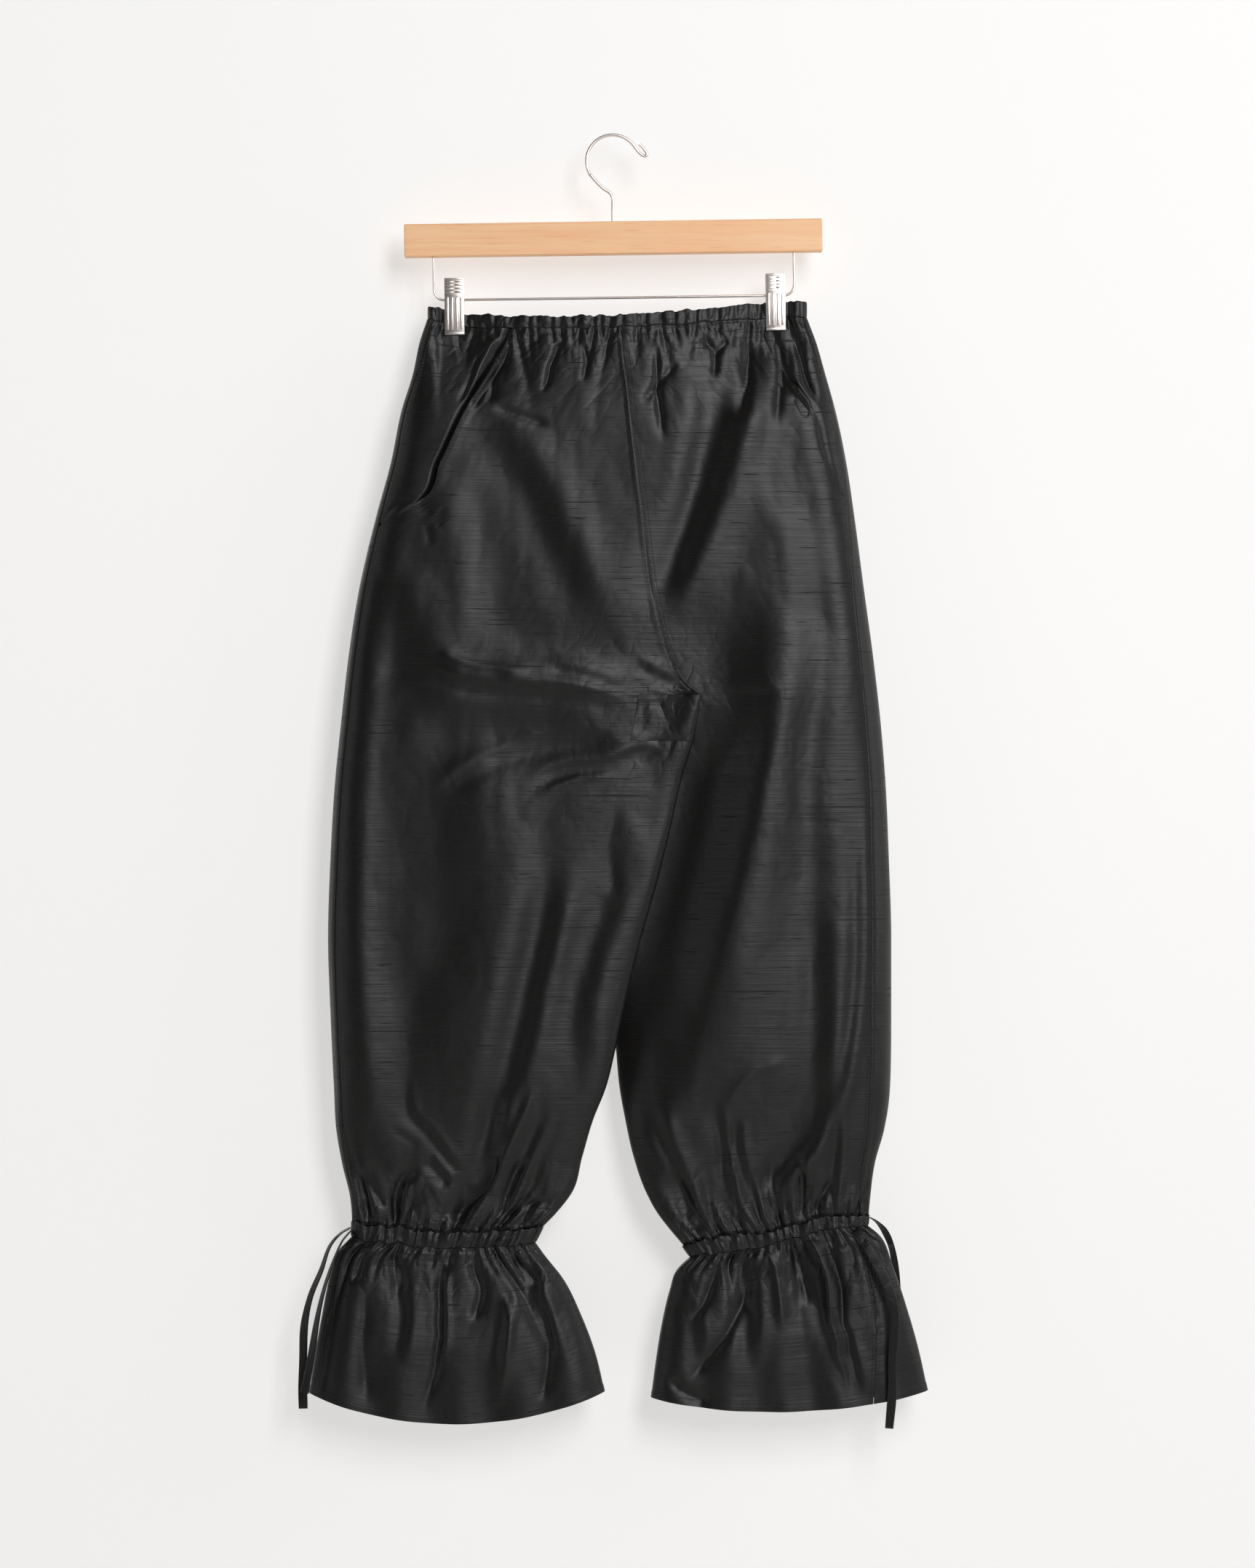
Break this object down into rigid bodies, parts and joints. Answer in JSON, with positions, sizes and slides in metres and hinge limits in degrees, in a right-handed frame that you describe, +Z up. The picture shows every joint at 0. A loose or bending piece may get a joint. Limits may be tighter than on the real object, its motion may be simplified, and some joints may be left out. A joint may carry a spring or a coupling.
{
  "type": "trousers on a clip hanger",
  "caption": "Wide gathered trousers with slant pockets, drawstring ankles and flared ruffles, hung by the waist from a wooden clip hanger.",
  "frame": {"origin": "point where the hook's wire rests on the nail or rod that holds it, under the top of the hook", "axes": "+Z up, +X to the viewer's right along the hanger's bar, the viewer of the front stands on the -Y side"},
  "size_m": [0.5358, 0.054, 1.1002],
  "materials": {
    "silk": "black slubbed silk with a soft sheen",
    "bar_wood": "pale clear-lacquered wood",
    "bright_wire": "bright plated wire and pressed plate"
  },
  "bodies": {
    "root": {"front_left_leg": "silk", "front_right_leg": "silk", "back_left_leg": "silk", "back_right_leg": "silk", "pocket_side_left": "silk", "pocket_side_right": "silk", "crotch_gusset": "silk", "waistband": "silk", "ankle_casing_left": "silk", "ankle_casing_right": "silk", "ruffle_front_left": "silk", "ruffle_back_left": "silk", "ruffle_front_right": "silk", "ruffle_back_right": "silk", "tie_left_outer": "silk", "tie_left_inner": "silk", "tie_right_front": "silk", "tie_right_back": "silk", "hanger_bar": "bar_wood", "hanger_hook": "bright_wire", "hanger_rail": "bright_wire", "clip_left_front": "bright_wire", "clip_left_back": "bright_wire", "clip_left_barrel": "bright_wire", "clip_right_front": "bright_wire", "clip_right_back": "bright_wire", "clip_right_barrel": "bright_wire"}
  },
  "joints": []
}
